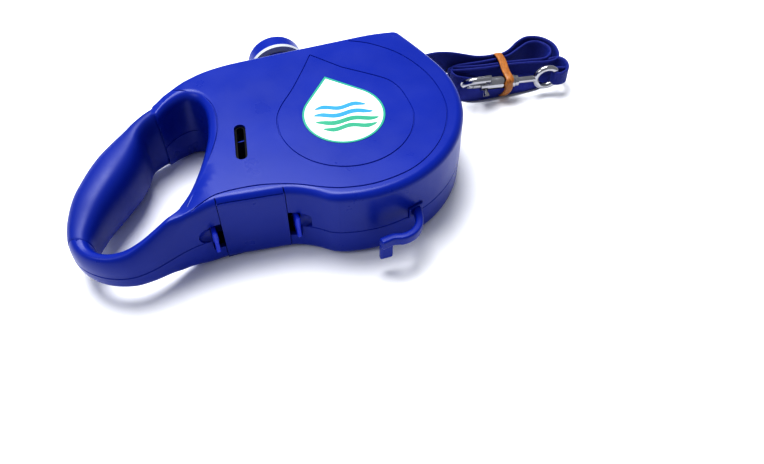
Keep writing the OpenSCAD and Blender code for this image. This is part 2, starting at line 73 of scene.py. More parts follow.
def smooth_step(low, high, x):
    """0 at low, 1 at high and smooth between; low may be the larger."""
    t = min(max((x - low) / (high - low), 0.0), 1.0)
    return t * t * (3 - 2 * t)


def arc(centre, radius, a0, a1, n):
    """Points of a circular arc from a0 to a1 degrees."""
    steps = [radians(a0 + (a1 - a0) * k / n) for k in range(n + 1)]
    return [(centre[0] + radius * cos(a), centre[1] + radius * sin(a)) for a in steps]


def spline(points, n, closed=False):
    """Catmull-Rom curve through points of any dimension, n samples a span."""
    p = [np.asarray(q, float) for q in points]
    m = len(p)
    out = []
    for i in range(m if closed else m - 1):
        a = p[(i - 1) % m] if closed else p[max(i - 1, 0)]
        b = p[i]
        c = p[(i + 1) % m]
        d = p[(i + 2) % m] if closed else p[min(i + 2, m - 1)]
        for k in range(n):
            t = k / n
            out.append(0.5 * (2 * b + (c - a) * t + (2 * a - 5 * b + 4 * c - d) * t * t
                              + (3 * b - a - 3 * c + d) * t ** 3))
    if not closed:
        out.append(p[-1])
    return out


def resample(points, step, closed=False):
    """The same polyline with points an even step apart."""
    p = np.array(points, float)
    if closed:
        p = np.vstack([p, p[:1]])
    s = np.r_[0, np.cumsum(np.linalg.norm(np.diff(p, axis=0), axis=1))]
    n = max(int(round(s[-1] / step)), 2)
    at = np.linspace(0, s[-1], n + 1)
    out = np.array([np.interp(at, s, p[:, k]) for k in range(p.shape[1])]).T
    return out[:-1] if closed else out


def add_object(name, data, material=None):
    """Puts a mesh, light or camera into the scene."""
    obj = bpy.data.objects.new(name, data)
    bpy.context.scene.collection.objects.link(obj)
    if material:
        data.materials.append(material)
    return obj


def make_mesh(name, verts, faces, material, smooth=True):
    """A mesh object from millimetre vertices."""
    mesh = bpy.data.meshes.new(name)
    points = [tuple(np.asarray(v, float) * MM) for v in verts]
    mesh.from_pydata(points, [], [tuple(f) for f in faces])
    mesh.validate()
    obj = add_object(name, mesh, material)
    tidy_normals(obj)
    mesh.polygons.foreach_set("use_smooth", [smooth] * len(mesh.polygons))
    return obj


def tidy_normals(obj):
    """Joins double points, removes loose edges and turns every face outwards."""
    b = bmesh.new()
    b.from_mesh(obj.data)
    bmesh.ops.remove_doubles(b, verts=b.verts, dist=1e-7)
    loose = [e for e in b.edges if not e.link_faces]
    if loose:
        bmesh.ops.delete(b, geom=loose, context="EDGES")
    bmesh.ops.recalc_face_normals(b, faces=b.faces)
    if b.calc_volume(signed=True) < 0:
        bmesh.ops.reverse_faces(b, faces=b.faces)
    b.to_mesh(obj.data)
    b.free()


def shade(obj, angle=35):
    """Smooth faces with edges over the angle kept sharp."""
    mesh = obj.data
    mesh.polygons.foreach_set("use_smooth", [True] * len(mesh.polygons))
    b = bmesh.new()
    b.from_mesh(mesh)
    for e in b.edges:
        e.smooth = len(e.link_faces) == 2 and e.calc_face_angle(0) < radians(angle)
    b.to_mesh(mesh)
    b.free()
    mod = obj.modifiers.new("weighted", "WEIGHTED_NORMAL")
    mod.keep_sharp = True
    mod.weight = 100
    return obj


def apply_all(obj):
    """The object's modifiers are made part of its mesh."""
    deps = bpy.context.evaluated_depsgraph_get()
    mesh = bpy.data.meshes.new_from_object(obj.evaluated_get(deps))
    obj.modifiers.clear()
    obj.data = mesh
    return obj


def triangulate(obj):
    """Splits faces of more than four corners, which the boolean solver handles badly."""
    b = bmesh.new()
    b.from_mesh(obj.data)
    bmesh.ops.triangulate(b, faces=[f for f in b.faces if len(f.verts) > 4])
    b.to_mesh(obj.data)
    b.free()


def combine(obj, tools, operation="DIFFERENCE"):
    """Cuts the tools out of obj, or joins them to it, and deletes them."""
    triangulate(obj)
    for tool in tools:
        triangulate(tool)
        mod = obj.modifiers.new("cut", "BOOLEAN")
        mod.operation = operation
        mod.solver = "MANIFOLD"
        mod.object = tool
        apply_all(obj)
        bpy.data.objects.remove(tool)
    return obj


def prism(name, outline, z0, z1, material=None):
    """A plan outline pushed up from z0 to z1."""
    n = len(outline)
    verts = [(p[0], p[1], z) for z in (z0, z1) for p in outline]
    faces = [[*range(n)][::-1], [*range(n, 2 * n)]]
    faces += [(i, (i + 1) % n, n + (i + 1) % n, n + i) for i in range(n)]
    return make_mesh(name, verts, faces, material, smooth=False)


def skin(rings, size, closed):
    """Quads between rings of equal size, with end caps on an open run."""
    faces = []
    for i in range(rings if closed else rings - 1):
        here, after = i * size, (i + 1) % rings * size
        for k in range(size):
            beside = (k + 1) % size
            faces.append((here + k, here + beside, after + beside, after + k))
    if not closed:
        faces += [[*range(size)][::-1], [*range((rings - 1) * size, rings * size)]]
    return faces


def loft(name, rings, material, closed=False, smooth=True):
    """Skin over rings of points; closed joins the last ring to the first."""
    verts = [v for ring in rings for v in ring]
    faces = skin(len(rings), len(rings[0]), closed)
    return make_mesh(name, verts, faces, material, smooth)


def block(name, low, high, material=None, turn=0.0, round_by=0.0):
    """A box between two corners, turned about its own centre, with rounded edges."""
    low, high = np.array(low, float), np.array(high, float)
    mid = (low + high) / 2
    b = bmesh.new()
    bmesh.ops.create_cube(b, size=1)
    for v in b.verts:
        v.co = Vector((high - low) * np.array(v.co))
    if round_by:
        bmesh.ops.bevel(b, geom=b.edges[:], offset=round_by, segments=4, affect="EDGES",
                        profile=0.5)
    bmesh.ops.rotate(b, verts=b.verts, matrix=Matrix.Rotation(radians(turn), 3, "Z"))
    bmesh.ops.translate(b, verts=b.verts, vec=mid)
    bmesh.ops.scale(b, verts=b.verts, vec=(MM, MM, MM))
    mesh = bpy.data.meshes.new(name)
    b.to_mesh(mesh)
    b.free()
    return add_object(name, mesh, material)


def turned(name, outline, origin, axis, material=None, sides=96):
    """A lathed shape: outline is a closed loop of (distance along the axis, radius)."""
    axis = unit(axis)
    side = unit(np.cross(axis, UP if abs(axis[2]) < 0.9 else (1, 0, 0)))
    third = np.cross(axis, side)
    rings = []
    for k in range(sides):
        a = 2 * pi * k / sides
        ray = side * cos(a) + third * sin(a)
        rings.append([np.asarray(origin) + axis * s + ray * r for s, r in outline])
    return loft(name, rings, material, closed=True)


# ---------- materials ----------
def srgb(r, g, b):
    """Colour given as 0 to 255 display values, as linear light."""
    shown = [c / 255 for c in (r, g, b)]
    lin = [c / 12.92 if c <= 0.04045 else ((c + 0.055) / 1.055) ** 2.4 for c in shown]
    return (*lin, 1.0)


def scaled(colour, by):
    """The colour made lighter or darker."""
    return tuple(min(c * by, 1) for c in colour[:3]) + (1.0,)


PATTERN_LOW, PATTERN_HIGH = 0.3, 0.7          # stretch of a pattern that tints and gloss use


class Recipe:
    """A Principled material with its node tree at hand."""

    def __init__(self, name, colour, rough=0.4, metallic=0.0, **sockets):
        self.material = bpy.data.materials.new(name)
        self.material.use_nodes = True
        self.tree = self.material.node_tree
        self.shader = self.tree.nodes["Principled BSDF"]
        self.set("Base Color", colour)
        self.set("Roughness", rough)
        self.set("Metallic", metallic)
        for key, value in sockets.items():
            self.set(key.replace("_", " "), value)

    def set(self, socket, value):
        self.shader.inputs[socket].default_value = value

    def node(self, kind, **inputs):
        n = self.tree.nodes.new("ShaderNode" + kind)
        for key, value in inputs.items():
            n.inputs[key.replace("_", " ")].default_value = value
        return n

    def link(self, a, a_out, b, b_in):
        self.tree.links.new(a.outputs[a_out], b.inputs[b_in])

    def math(self, operation, source, out, second=None, third=None):
        """A sum on one output, with a number or another node's output as the second term."""
        n = self.node("Math")
        n.operation = operation
        self.link(source, out, n, 0)
        if isinstance(second, bpy.types.Node):
            self.link(second, 0, n, 1)
        elif second is not None:
            n.inputs[1].default_value = second
        if third is not None:
            n.inputs[2].default_value = third
        return n

    def noise(self, scale, detail, stretch=None):
        """Noise in the piece's own coordinates, drawn out along an axis by stretch."""
        where, out = self.node("TexCoord"), "Object"
        n = self.node("TexNoise", Scale=scale, Detail=detail)
        if stretch:
            m = self.node("Mapping", Scale=stretch)
            self.link(where, out, m, "Vector")
            where, out = m, "Vector"
        self.link(where, out, n, "Vector")
        return n

    def gloss(self, source, low, high):
        """Roughness that follows the pattern."""
        m = self.node("MapRange", From_Min=PATTERN_LOW, From_Max=PATTERN_HIGH,
                      To_Min=low, To_Max=high)
        self.link(source, 0, m, "Value")
        self.link(m, "Result", self.shader, "Roughness")

    def tint(self, source, dark, light):
        """Colour that follows the pattern."""
        r = self.node("ValToRGB")
        stops = ((PATTERN_LOW, dark), (PATTERN_HIGH, light))
        for stop, (position, colour) in zip(r.color_ramp.elements, stops):
            stop.position = position
            stop.color = colour
        self.link(source, 0, r, "Fac")
        self.link(r, "Color", self.shader, "Base Color")

    def bump(self, source, strength, distance):
        """Relief that follows the pattern, distance in metres."""
        b = self.node("Bump", Strength=strength, Distance=distance)
        self.link(source, 0, b, "Height")
        self.link(b, "Normal", self.shader, "Normal")


def plastic(name, colour, rough, grain=1.0, vary=0.08, **sockets):
    """Moulded plastic: faint cloudy tint, uneven gloss and the mould's fine grain."""
    m = Recipe(name, colour, rough, **sockets)
    m.tint(m.noise(22, 4), scaled(colour, 1 - vary), scaled(colour, 1 + vary))
    m.gloss(m.noise(60, 5), rough * 0.88, rough * 1.18)
    m.bump(m.noise(2600, 2), 0.10 * grain, 0.00012)
    return m.material


def metal(name, colour, rough, scuffs, stretch):
    """Metal with fine scuffs in its gloss and relief, and a cloudy tint."""
    m = Recipe(name, colour, rough, metallic=1.0)
    scuff = m.noise(scuffs, 6, stretch)
    m.gloss(scuff, rough * 0.75, rough * 1.7)
    m.tint(m.noise(120, 3), scaled(colour, 0.86), colour)
    m.bump(scuff, 0.12, 0.00008)
    return m.material


RIB_PITCH, PICK_PITCH = 1.05, 0.9             # mm across and along the tape


def webbing():
    """Plain woven nylon: ribs along the tape with crossing picks, from its UVs in mm, with
    painted shade darkening the dips of the weave.
    """
    m = Recipe("webbing", srgb(18, 34, 140), 0.62, Sheen_Weight=0.35, Sheen_Roughness=0.4,
               Sheen_Tint=srgb(90, 130, 255))
    where = m.node("TexCoord")
    split = m.node("SeparateXYZ")
    m.link(where, "UV", split, "Vector")
    ribs, picks = (m.math("SINE", m.math("MULTIPLY", split, out, 2 * pi / pitch), 0)
                   for out, pitch in (("Y", RIB_PITCH), ("X", PICK_PITCH)))
    weave_height_and_shade = m.math("MULTIPLY_ADD", m.math("MULTIPLY", ribs, 0, picks), 0, 0.5, 0.5)
    # Darker where the weave dips: painted shade between the threads, on top of the bump's
    # relief.
    m.tint(weave_height_and_shade, srgb(3, 6, 46), srgb(18, 42, 164))
    m.bump(weave_height_and_shade, 0.9, 0.0003)
    m.gloss(m.noise(900, 3), 0.5, 0.78)
    return m.material


def band_rubber():
    """Amber rubber, streaked along its length and faintly see-through."""
    m = Recipe("band_rubber", srgb(156, 98, 44), 0.42, Subsurface_Weight=0.2,
               Subsurface_Radius=(0.002, 0.001, 0.0004))
    streak = m.noise(500, 4, stretch=(6, 1, 1))
    m.tint(streak, srgb(122, 72, 28), srgb(186, 122, 54))
    m.bump(streak, 0.3, 0.0002)
    return m.material


MATERIALS = {
    "shell_plastic": plastic("shell_plastic", srgb(8, 40, 142), 0.30, 1.0, 0.05,
                             Specular_IOR_Level=0.28),
    "grip_rubber": plastic("grip_rubber", srgb(8, 38, 134), 0.42, 2.2, 0.06,
                           Specular_IOR_Level=0.28),
    "dark_blue_plastic": plastic("dark_blue_plastic", srgb(14, 26, 110), 0.45, 2.0),
    "tab_plastic": plastic("tab_plastic", srgb(22, 54, 190), 0.26, 1.0,
                           Specular_IOR_Level=0.4),
    "grey_plastic": plastic("grey_plastic", srgb(176, 180, 184), 0.40, 1.5),
    "white_plastic": plastic("white_plastic", srgb(226, 226, 220), 0.45, 1.5, 0.03),
    "reel_plastic": plastic("reel_plastic", srgb(44, 44, 48), 0.5, 2.0),
    "tank_plastic": plastic("tank_plastic", srgb(170, 205, 232), 0.12, 0.5, 0.03,
                            Transmission_Weight=0.6),
    "steel": metal("steel", srgb(166, 166, 170), 0.30, 900, (1, 1, 14)),
    "chrome": metal("chrome", srgb(176, 176, 182), 0.14, 350, (1, 1, 1)),
    "webbing": webbing(),
    "label_print": plastic("label_print", srgb(226, 230, 228), 0.32, 0.6, 0.015),
    "black_rubber": plastic("black_rubber", srgb(7, 7, 8), 0.65, 2.5, Specular_IOR_Level=0.2),
    "band_rubber": band_rubber(),
}
RIM_TEAL = plastic("rim_teal", srgb(34, 150, 128), 0.35, 0.6, 0.04)
WAVE_CYAN = plastic("wave_cyan", srgb(36, 140, 190), 0.35, 0.6, 0.04)
WAVE_GREEN = plastic("wave_green", srgb(34, 150, 118), 0.35, 0.6, 0.04)

for entry in frame["record"]["subparts"]:
    node = frame["nodes"][entry["node"]]
    node.data.materials.clear()
    node.data.materials.append(MATERIALS[entry["material_slot"]])


def finish_piece(obj, body, slot, *nodes):
    """A piece rides on a body and stands for CAD nodes, which it hides; slot is not used."""
    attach(obj, body)
    if nodes:
        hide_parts(*nodes)


# ---------- camera ----------
def make_camera():
    """View from above the lower edge, with the case turned twenty degrees from square."""
    turn, tilt, roll = radians(20), radians(51.24), radians(0.644)
    forward = Vector((sin(turn) * cos(tilt), cos(turn) * cos(tilt), -sin(tilt)))
    right = Vector((cos(turn), -sin(turn), 0))
    up = right.cross(forward)
    right_r = right * cos(roll) + up * sin(roll)
    up_r = up * cos(roll) - right * sin(roll)
    data = bpy.data.cameras.new("camera")
    data.sensor_width = 36
    data.lens = 35.05
    cam = add_object("camera", data)
    rows = Matrix((right_r, up_r, -forward)).transposed()
    place = Vector((-83.05, -298.07, 320.7)) * MM
    cam.matrix_world = Matrix.Translation(place) @ rows.to_4x4()
    bpy.context.scene.camera = cam


make_camera()

# ---------- free tape ----------
# Route of the tape from the nozzle to the hank, and on through its folds to the snap's eye.
ROUTE = [
    (59.5, 41.6, 24.5), (64, 42.6, 24.3), (70, 44.2, 23.4), (78, 46.4, 21), (87, 48, 17.4),
    (96, 48.6, 13.4), (104, 48.4, 10.4), (112, 47.8, 9)]
FOLDS = [
    (117.5, 47.2, 9), (125, 46.8, 9), (131.5, 49.5, 9), (138.5, 54.2, 9), (147, 57.2, 9),
    (155.5, 54, 9), (160.3, 46.5, 9), (160.2, 38, 9), (157, 31.6, 9), (150, 29.8, 9),
    (138, 32.6, 9), (124, 35.4, 9), (110, 36.9, 9), (97, 39.2, 9), (88.5, 41.3, 9),
    (85.2, 43, 9), (88.5, 44.4, 9), (98, 41.8, 9), (110, 39.4, 9), (124, 37.8, 9),
    (137, 35.4, 9), (148, 33.6, 9), (154.5, 37, 9), (156.4, 43.5, 9), (152.5, 50.3, 9),
    (145.5, 51.8, 9), (136.5, 48, 9), (126, 43.6, 9), (110, 43.4, 9), (98, 44.6, 9),
    (90.5, 45.2, 9), (87.2, 43.2, 9), (86.4, 39.6, 8.6)]
# The last run leans under the snap, its top edge tipped by the fourth number in degrees,
# and then stands up again for the loop through the snap's eye.
LEANING = [
    (88.4, 35.4, 7.6, -15), (94.5, 32, 6.2, -42), (104, 30.8, 5.4, -56),
    (116, 30.2, 5.2, -60), (128, 29.8, 5.2, -60), (139, 29.6, 5.4, -56),
    (147.5, 30.4, 6.4, -40), (153.2, 32, 8, -14), (157.8, 30, 9.4, 0), (159, 24.5, 11, 0),
    (157, 18.5, 12.4, 0), (152.1, 15.3, 13.2, 0), (147.9, 15.7, 13.2, 0),
    (146.6, 18.3, 13.2, 0), (148.7, 20.7, 13.2, 0), (152.5, 20.3, 13.2, 0),
    (155.5, 18.9, 13.2, 0)]
TAPE_W, TAPE_T = 15.0, 1.5
GATHERED_BY = 5.6                             # how much narrower the tape is in the eye
TAPE_STEP = 1.1


def tape_width(i, n):
    """Width at ring i of n: the tape is gathered where it goes through the eye."""
    return TAPE_W - GATHERED_BY * smooth_step(34, 12, n - 1 - i)


def ribbon(name, path, width_at, thick, material):
    """A flat tape on edge along (x, y, z, lean), with its length and width in mm as UVs."""
    across = 10
    path = np.array(path, float)
    lean, p = np.radians(path[:, 3]), path[:, :3]
    n = len(p)
    face = [(thick * (0.32 if k in (0, across) else 0.5), -0.5 + k / across)
            for k in range(across + 1)]
    ring = face + [(-x, y) for x, y in reversed(face)]
    along = np.r_[0, np.cumsum(np.linalg.norm(np.diff(p, axis=0), axis=1))]
    verts, uvs = [], []
    for i in range(n):
        d = unit(p[min(i + 1, n - 1)] - p[max(i - 1, 0)])
        level = unit((d[1], -d[0], 0))
        up = unit(np.cross(level, d))
        side = level * cos(lean[i]) - up * sin(lean[i])
        rise = up * cos(lean[i]) + level * sin(lean[i])
        w = width_at(i, n)
        for x, y in ring:
            verts.append(p[i] + x * side + y * w * rise)
            uvs.append((along[i], y * TAPE_W + TAPE_W / 2 + (x < 0) * 0.5))
    mesh = bpy.data.meshes.new(name)
    mesh.from_pydata([tuple(v * MM) for v in verts], [], skin(n, len(ring), closed=False))
    layer = mesh.uv_layers.new(name="tape")
    for corner in mesh.loops:
        layer.data[corner.index].uv = uvs[corner.vertex_index]
    mesh.polygons.foreach_set("use_smooth", [True] * len(mesh.polygons))
    return add_object(name, mesh, material), along[-1]


tape_line = spline([(*q, 0) for q in ROUTE + FOLDS] + LEANING, 12)
tape, tape_length = ribbon("free_tape", resample(tape_line, TAPE_STEP), tape_width, TAPE_T,
                           MATERIALS["webbing"])
finish_piece(tape, "case", "webbing", "strap_run", "strap_hank", "strap_end_loop")


# The band's loop, across and above the snap's axis, and its section, in widths and
# thicknesses.
BAND_LOOP = [(-4.9, 1.0), (-4.7, -3.5), (-2.0, -8.6), (1.8, -11.6), (8, -12.0), (16, -12.0),
             (21.8, -11.6), (23.8, -9.2), (24.0, -3), (23.8, 2), (22, 4.2), (16, 4.6), (8, 4.9),
             (0, 4.9), (-3.8, 4.0)]
BAND_SECTION = [(-0.5, 0.0), (-0.42, 0.8), (-0.2, 1.0), (0.2, 1.0), (0.42, 0.8), (0.5, 0.0),
                (0.4, -0.15), (-0.4, -0.15)]
BAND_W, BAND_T = 5.4, 0.9
BAND_FROM_TIP = 31.2


def rubber_band():
    """Flat band round the tape and the snap, slightly askew."""
    along = np.array((cos(SNAP_TURN), sin(SNAP_TURN), 0))
    across = np.array((-along[1], along[0], 0))
    line = spline(BAND_LOOP, 6, closed=True)
    rings = []
    for i, (y, z) in enumerate(line):
        d = unit(np.array(line[(i + 1) % len(line)]) - np.array(line[i - 1]))
        out = np.array((d[1], -d[0]))
        askew = BAND_FROM_TIP + 0.10 * z + 0.35 * sin(0.4 * i)
        ring = []
        for x, t in BAND_SECTION:
            q = (y, z) + out * t * BAND_T
            ring.append(SNAP_AT + along * (askew + x * BAND_W) + across * q[0]
                        + np.array((0, 0, q[1])))
        rings.append(ring)
    return loft("band", rings, MATERIALS["band_rubber"], closed=True)


band = rubber_band()
finish_piece(band, "case", "band_rubber", "rubber_band")

# ---------- case outlines ----------
EDGE_Y = 57.0                                 # the straight thumb edge
CASE_R = 68.0
TOP_EDGE = [(-45, EDGE_Y), (-55, EDGE_Y - 0.6), (-67, 54.2), (-79, 49.4), (-89, 44.2)]
HOLE_FRONT = [(-88, 33.4), (-79, 36), (-72.6, 31.5), (-70.4, 21), (-72.2, 6.5), (-76.2, -7),
              (-82.8, -21.5), (-89.6, -32.8)]
LOW_START = (-95, -49.8)
LOW_EDGE = [(-90, -48.8), (-78, -47.4), (-61, -49.2), (-45, -51.2), (-37.5, -54), (-31, -58),
            (-25.6, -62.4)]
# Handle stations: outer point, inner point, lowest z, highest z.
HANDLE = [
    ((-98, 39.2), (-95.5, 27.3), 3, 43.5), ((-104.5, 36.6), (-101, 25), 3, 42.5),
    ((-111.5, 33.6), (-105.5, 20.5), 3, 41), ((-118.5, 29.7), (-108, 12.5), 2.5, 40),
    ((-125.5, 24.9), (-112.5, 3.5), 2.5, 39.5), ((-132, 19), (-118, -4), 3, 39),
    ((-138, 12), (-123.5, -10.5), 3.5, 38), ((-143, 4.5), (-128.5, -16.5), 4.5, 37),
    ((-147.5, -3.5), (-133, -22.5), 6, 36), ((-151, -13), (-137, -28.8), 7.5, 34.5),
    ((-153.2, -24), (-140, -34.5), 9, 33), ((-153, -34.5), (-140.8, -38.5), 10, 32),
    ((-149.5, -43.5), (-139.5, -42.2), 10, 31.5), ((-143.5, -50.5), (-136.5, -45.8), 10, 32),
    ((-135.5, -55.8), (-131.5, -48.3), 10, 33), ((-126, -58.5), (-125, -49.6), 9.5, 35),
    ((-116.5, -57.3), (-117.5, -49), 8.5, 38), ((-108, -54.4), (-110.5, -46.9), 7, 41),
    ((-101, -51.6), (-103, -43.6), 4.5, 43.5), ((-95, -49.8), (-97, -40.8), 4.5, 43.5)]
GRIP_TO = 11                                  # the sleeve covers stations 0 to here
PER_STATION = 8
stations = spline([(*o, *i, lo, hi) for o, i, lo, hi in HANDLE], PER_STATION)


def grip_step(s):
    """How far the core lies under the grip at station s."""
    return 1.6 if 0.15 < s < GRIP_TO - 0.15 else 0.0


def body_height(x, y):
    """Height of the case's upper face: it falls a little towards the handle and at the nose."""
    fall = 3.4 * smooth_step(-76, -99, x)
    nose = 3.2 * smooth_step(0, 30, (x * 0.72 + y * 0.70) - 62)
    return CASE_TOP - fall - nose


def body_floor(x):
    """Height of the case's lower face, which rises towards the handle."""
    return 4.0 * smooth_step(-82, -100, x)


class Rim:
    """One closed outline with, at each point, what its wall profile needs."""

    def __init__(self):
        self.at, self.normal, self.chord = [], [], []
        self.mix, self.low, self.high = [], [], []

    def add(self, at, normal, chord, mix, low, high):
        self.at.append(np.asarray(at, float))
        self.normal.append(normal)
        self.chord.append(chord)
        self.mix.append(mix)
        self.low.append(low)
        self.high.append(high)


DEPTH = 15.0                                  # how far in the wall's rounding may reach
RELAX = 8                                     # rounds of smoothing for the crown's edge


def inward(d, x):
    """Depth of the wall's rounding at x, square to direction d: less where the handle starts."""
    return np.array((-d[1], d[0])) * DEPTH * (1 - 0.38 * smooth_step(-79, -91, x))


def rim_from(case_points, rows, inner):
    """Case stretch (outline points) then handle stretch (stations), joined in one loop."""
    rim = Rim()
    loop = [tuple(p) for p in case_points]
    loop += [tuple(r[2:4] if inner else r[:2]) for r in rows]
    n = len(loop)
    for i, p in enumerate(loop):
        row = rows[i - len(case_points)] if i >= len(case_points) else None
        d = unit(np.subtract(loop[(i + 1) % n], loop[i - 1]))
        normal = inward(d, p[0])
        if row is None:
            rim.add(p, normal, normal * 0, 0.0, body_floor(p[0]), body_height(*p))
            continue
        mine, other = (row[2:4], row[:2]) if inner else (row[:2], row[2:4])
        chord = (np.array(other) - np.array(mine)) / 2
        mix = smooth_step(-94, -106, p[0])
        low = body_floor(p[0]) * (1 - mix) + row[4] * mix
        high = body_height(*p) * (1 - mix) + row[5] * mix
        rim.add(p, normal, chord, mix, low, high)
    return rim


def handle_rows(reverse=False):
    """The handle's stations, drawn in where the grip covers the core."""
    rows = []
    for i, r in enumerate(stations):
        less = grip_step(i / PER_STATION)
        chord = (r[2:4] - r[:2]) / 2
        k = less / np.linalg.norm(chord)
        rows.append([*(r[:2] + chord * k), *(r[2:4] - chord * k), r[4] + less, r[5] - less])
    return rows[::-1] if reverse else rows


case_arc = arc((0, 0), CASE_R, -108, 14, 60)
nose_arc = arc((50, EDGE_Y - 5.5), 5.5, 18, 90, 10)
front = list(resample([case_arc[-1], nose_arc[0]], 3))[1:-1]
thumb = list(resample([nose_arc[-1], TOP_EDGE[0]], 4))[1:-1]
upper = spline(TOP_EDGE, 6)
lower = spline([LOW_START] + LOW_EDGE + [case_arc[0]], 7)[3:-1]
outer_rim = rim_from(case_arc + front + nose_arc + thumb + upper, handle_rows(), False)
for before, p, after in zip([LOW_START] + lower, lower, lower[1:] + [case_arc[0]]):
    d = unit(np.subtract(after, before))
    outer_rim.add(p, inward(d, p[0]), np.zeros(2), 0.0, body_floor(p[0]), body_height(*p))
front_curve = spline([HANDLE[0][1]] + HOLE_FRONT + [HANDLE[-1][1]], 7)[2:-2]
hole_rim = rim_from(front_curve, handle_rows(reverse=True), True)


WALL_RINGS = 18
BAR_END = radians(84)                         # where the handle's rounding meets the crown
WALL_SHARE = 0.3                              # part of the rings that stand in the plain wall
DRAFT = 0.015
ROUND_POWER = 0.8                             # a little squarer than a round bar


def profile(mix, high, edge_r):
    """Each ring's share of the normal, the chord and the height, parting line to crown."""
    rise = high - PART_Z
    out = []
    for k in range(WALL_RINGS):
        t = k / (WALL_RINGS - 1)
        a = t * BAR_END
        bar = (1 - cos(a) ** ROUND_POWER, sin(a) ** ROUND_POWER / sin(BAR_END) ** ROUND_POWER)
        if t < WALL_SHARE:
            flat = (DRAFT * t / WALL_SHARE, (1 - edge_r / rise) * t / WALL_SHARE)
        else:
            b = (t - WALL_SHARE) / (1 - WALL_SHARE) * pi / 2
            flat = ((edge_r * (1 - cos(b))) / DEPTH + DRAFT, 1 - edge_r / rise * (1 - sin(b)))
        out.append((flat[0] * (1 - mix), bar[0] * mix, bar[1] * mix + flat[1] * (1 - mix)))
    return out


def relaxed(loop):
    """A closed loop smoothed, so that an inward offset doesn't cross itself."""
    for _ in range(RELAX):
        loop = 0.5 * loop + 0.25 * (np.roll(loop, 1, axis=0) + np.roll(loop, -1, axis=0))
    return loop


def inside(p, polygon):
    """Whether a plan point lies in a closed polygon."""
    x, y = p[0], p[1]
    a, b = polygon, np.roll(polygon, -1, axis=0)
    hit = ((a[:, 1] > y) != (b[:, 1] > y))
    with np.errstate(divide="ignore", invalid="ignore"):
        cross = (b[:, 0] - a[:, 0]) * (y - a[:, 1]) / (b[:, 1] - a[:, 1]) + a[:, 0]
    return bool(np.sum(hit & (x < cross)) % 2)


def fill(verts, faces, loops, crown, up):
    """Triangulates between the outer loop and the hole loop, with a grid near the handle."""
    index = [i for loop in loops for i in loop]
    flat = [Vector(verts[i][:2]) for i in index]
    edges, start = [], 0
    for loop in loops:
        n = len(loop)
        edges += [(start + k, start + (k + 1) % n) for k in range(n)]
        start += n
    ring_xy = np.array([p[:] for p in flat])
    outline, hole = ring_xy[:len(loops[0])], ring_xy[len(loops[0]):]

    def between(p):
        return inside(p, outline) and not inside(p, hole)

    if crown:
        grid = [(x, y) for x in np.arange(-112, -70, 3.0) for y in np.arange(-60, 50, 3.0)]
        flat += [Vector(e) for e in grid
                 if np.min(np.hypot(*(ring_xy - e).T)) > 1.8 and between(e)]
    out_v, _, out_f, orig, _, _ = delaunay_2d_cdt(flat, edges, [], 0, 1e-6)
    new = []
    for v, from_points in zip(out_v, orig):
        if from_points and min(from_points) < len(index):
            new.append(index[min(from_points)])
            continue
        verts.append((v.x, v.y, body_height(v.x, v.y) if up else body_floor(v.x)))
        new.append(len(verts) - 1)
    for f in out_f:
        if between(sum((out_v[k] for k in f), Vector((0, 0))) / len(f)):
            faces.append([new[k] for k in f])


def half_case(name, up, outer_r, hole_r):
    """Closed upper or lower half: walls from two rims, a crown and a flat parting face."""
    verts, faces, crowns, seams = [], [], [], []
    rings = WALL_RINGS
    for rim, radius in ((outer_rim, outer_r), (hole_rim, hole_r)):
        n = len(rim.at)
        base = len(verts)
        highs = [rim.high[i] if up else 2 * PART_Z - rim.low[i] for i in range(n)]
        profiles = [profile(rim.mix[i], highs[i], radius) for i in range(n)]
        crown = relaxed(np.array([rim.at[i] + rim.normal[i] * q[-1][0] + rim.chord[i] * q[-1][1]
                                  for i, q in enumerate(profiles)]))
        for i in range(n):
            total = sum(profiles[i][-1][:2])
            across = crown[i] - rim.at[i]
            for k, (flat, bar, v) in enumerate(profiles[i]):
                at = rim.at[i] + across * (flat + bar) / total
                z = PART_Z + (highs[i] - PART_Z) * v
                if k == 0:                    # the two lowest rings make the parting groove
                    at = rim.at[i] + unit(across) * 0.35
                elif k == 1:
                    at, z = rim.at[i], PART_Z + 0.45
                verts.append((at[0], at[1], z if up else 2 * PART_Z - z))
        for i in range(n):
            j = (i + 1) % n
            for k in range(rings - 1):
                a, b = base + i * rings + k, base + j * rings + k
                faces.append((a, b, b + 1, a + 1))
        seams.append([base + i * rings for i in range(n)])
        crowns.append([base + i * rings + rings - 1 for i in range(n)])
    for loops, is_crown in ((seams, False), (crowns, True)):
        fill(verts, faces, loops, is_crown, up)
    return make_mesh(name, verts, faces, MATERIALS["shell_plastic"])


upper_case = half_case("upper_case", True, 4.2, 5.5)
lower_case = half_case("lower_case", False, 5.5, 5.0)
finish_piece(upper_case, "case", "shell_plastic", "upper_shell")
finish_piece(lower_case, "case", "shell_plastic", "lower_shell")

# ---------- openings in the case ----------
DOOR = (-78.2, -44.8)                         # its two ends in x
DOOR_BACK = -45.0
DOOR_LOW, DOOR_HIGH = 0.3, 44.2
GAP = 0.3
TABS_LOW, TABS_HIGH = 13.0, 29.0
LOW_FILLET = 5.5
OUTSIDE = -60                                 # y clear of the lower edge at the door
SLOT_AT, SLOT_TURN = (-57.4, -10.3), 80.5
DROP_AT = (0.0, -7.5)
CAP_X = -18.0


def inset_path(points, by):
    """An open stretch of a counter-clockwise outline moved inwards."""
    p = np.array(points, float)
    d = np.gradient(p, axis=0)
    d /= np.linalg.norm(d, axis=1)[:, None]
    return [tuple(q) for q in p + by * np.stack((-d[:, 1], d[:, 0]), axis=1)]


def drop_loop(radius, height):
    """Drop outline: a circle with a point height above its centre."""
    t = math.degrees(math.acos(radius / height))
    return arc(DROP_AT, radius, 90 + t, 450 - t, 72) + [(DROP_AT[0] - 1, DROP_AT[1] + height)]


